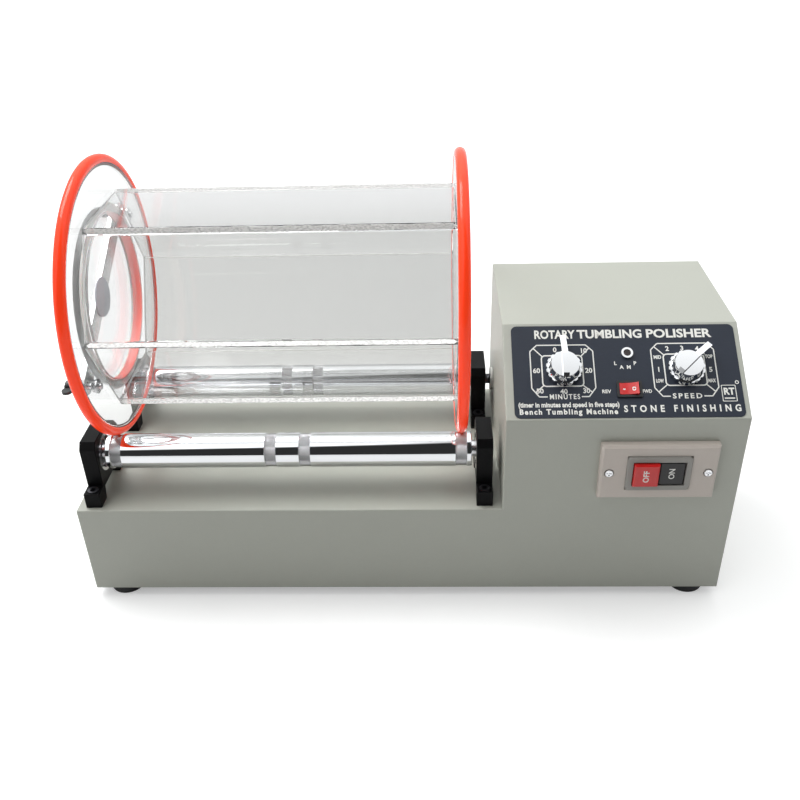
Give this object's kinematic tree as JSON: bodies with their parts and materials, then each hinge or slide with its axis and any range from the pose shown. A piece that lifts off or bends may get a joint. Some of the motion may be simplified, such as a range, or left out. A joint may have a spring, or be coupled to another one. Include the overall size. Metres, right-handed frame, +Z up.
{
  "type": "rotary rock tumbler",
  "caption": "Bench rotary tumbler: a clear hexagonal barrel with red-tyred end discs lies on two chromed rollers beside a sloping-front control housing.",
  "frame": {"origin": "middle of the footprint, at the bottom of the rubber feet", "axes": "+X along the rollers towards the control housing, -Y towards the user and the controls, +Z up"},
  "size_m": [0.59, 0.2518, 0.3937],
  "materials": {
    "painted_sheet": "satin",
    "zinc_sheet": "satin",
    "black_block": "satin",
    "chrome": "polished",
    "steel": "satin",
    "black_steel": "satin",
    "bearing_steel": "polished",
    "aluminium": "satin",
    "rubber": "matt",
    "tyre_red": "gloss",
    "acrylic": "clear gloss",
    "motor_paint": "satin",
    "board_green": "satin",
    "black_plastic": "satin",
    "grey_plastic": "satin",
    "bezel_grey": "satin",
    "red_plastic": "gloss",
    "lens_dark": "gloss",
    "label": "gloss",
    "nylon": "satin",
    "silicone": "satin",
    "pad_grey": "matt"
  },
  "bodies": {
    "frame": {"base_plate": "zinc_sheet", "base_plate_screws": "steel", "base_shell": "painted_sheet", "bearing_balls": "bearing_steel", "bearing_block_front_left": "black_block", "bearing_block_front_right": "black_block", "bearing_block_rear_left": "black_block", "bearing_block_rear_right": "black_block", "bearing_outer_races": "bearing_steel", "block_bolts": "black_steel", "board_posts": "nylon", "control_board": "board_green", "direction_switch_case": "black_plastic", "drive_belt": "rubber", "feet": "rubber", "foot_screws": "steel", "housing_shell": "painted_sheet", "inlet_screws": "steel", "label_plate": "label", "mains_inlet": "black_plastic", "motor_bracket": "zinc_sheet", "motor_case": "motor_paint", "motor_screws": "steel", "pilot_lamp_bezel": "chrome", "pilot_lamp_lens": "lens_dark", "speed_control_case": "zinc_sheet", "station_plate": "grey_plastic", "station_screws": "chrome", "station_switch_case": "bezel_grey", "timer_case": "black_plastic", "wall_bush": "nylon"},
    "barrel": {"barrel_walls": "acrylic", "left_disc": "acrylic", "right_disc": "acrylic", "left_tyre": "tyre_red", "right_tyre": "tyre_red", "lid_studs": "steel", "stud_nuts": "steel"},
    "front_roller": {"roller_front_tube": "chrome", "roller_front_axle": "steel", "bearing_inner_races_front": "bearing_steel"},
    "rear_roller": {"roller_rear_tube": "chrome", "roller_rear_axle": "black_steel", "bearing_inner_races_rear": "bearing_steel", "driven_pulley": "aluminium"},
    "motor_rotor": {"motor_rotor": "steel", "motor_pulley": "aluminium"},
    "lid": {"lid": "acrylic", "lid_gasket": "silicone", "lid_pad": "pad_grey", "lid_bar": "steel"},
    "wing_nut_upper": {"wing_nut_upper": "black_plastic"},
    "wing_nut_lower": {"wing_nut_lower": "black_plastic"},
    "timer_knob": {"timer_knob": "chrome", "timer_spindle": "steel"},
    "speed_knob": {"speed_knob": "chrome", "speed_spindle": "steel"},
    "direction_rocker": {"direction_rocker": "red_plastic"},
    "off_button": {"off_button": "red_plastic"},
    "on_button": {"on_button": "black_plastic"}
  },
  "joints": [
    {"name": "barrel_spin", "type": "hinge", "parent": "frame", "child": "barrel", "pos_m": [-0.102, 0, 0.26773], "axis": [1, 0, 0], "continuous": true},
    {"name": "front_roller_spin", "type": "hinge", "parent": "frame", "child": "front_roller", "pos_m": [-0.102, -0.0625, 0.141], "axis": [1, 0, 0], "continuous": true},
    {"name": "rear_roller_spin", "type": "hinge", "parent": "frame", "child": "rear_roller", "pos_m": [-0.102, 0.0625, 0.141], "axis": [1, 0, 0], "continuous": true},
    {"name": "motor_spin", "type": "hinge", "parent": "frame", "child": "motor_rotor", "pos_m": [0.14, -0.018, 0.064], "axis": [1, 0, 0], "continuous": true},
    {"name": "lid_off", "type": "slide", "parent": "barrel", "child": "lid", "axis": [-1, 0, 0], "range_m": [0, 0.06]},
    {"name": "wing_nut_upper_turn", "type": "hinge", "parent": "lid", "child": "wing_nut_upper", "pos_m": [-0.2835, 0.08011, 0.31398], "axis": [1, 0, 0], "continuous": true},
    {"name": "wing_nut_lower_turn", "type": "hinge", "parent": "lid", "child": "wing_nut_lower", "pos_m": [-0.2835, -0.08011, 0.22148], "axis": [1, 0, 0], "continuous": true},
    {"name": "timer_turn", "type": "hinge", "parent": "frame", "child": "timer_knob", "pos_m": [0.1418, -0.0662, 0.22421], "axis": [0, 0.5698, -0.8218], "range_deg": [0, 300]},
    {"name": "speed_turn", "type": "hinge", "parent": "frame", "child": "speed_knob", "pos_m": [0.2452, -0.06653, 0.22398], "axis": [0, 0.5698, -0.8218], "range_deg": [-181, 104]},
    {"name": "direction_tilt", "type": "hinge", "parent": "frame", "child": "direction_rocker", "pos_m": [0.196, -0.0814, 0.21367], "axis": [0, 0.8218, 0.5698], "range_deg": [0, 16]},
    {"name": "off_press", "type": "slide", "parent": "frame", "child": "off_button", "axis": [0, 1, 0], "range_m": [0, 0.004]},
    {"name": "on_press", "type": "slide", "parent": "frame", "child": "on_button", "axis": [0, 1, 0], "range_m": [-0.004, 0]}
  ],
  "couplings": [
    {"joint": "front_roller_spin", "follows": "barrel_spin", "ratio": -8.4},
    {"joint": "rear_roller_spin", "follows": "barrel_spin", "ratio": -8.4},
    {"joint": "motor_spin", "follows": "barrel_spin", "ratio": -25.2},
    {"joint": "on_press", "follows": "off_press", "ratio": -1}
  ]
}
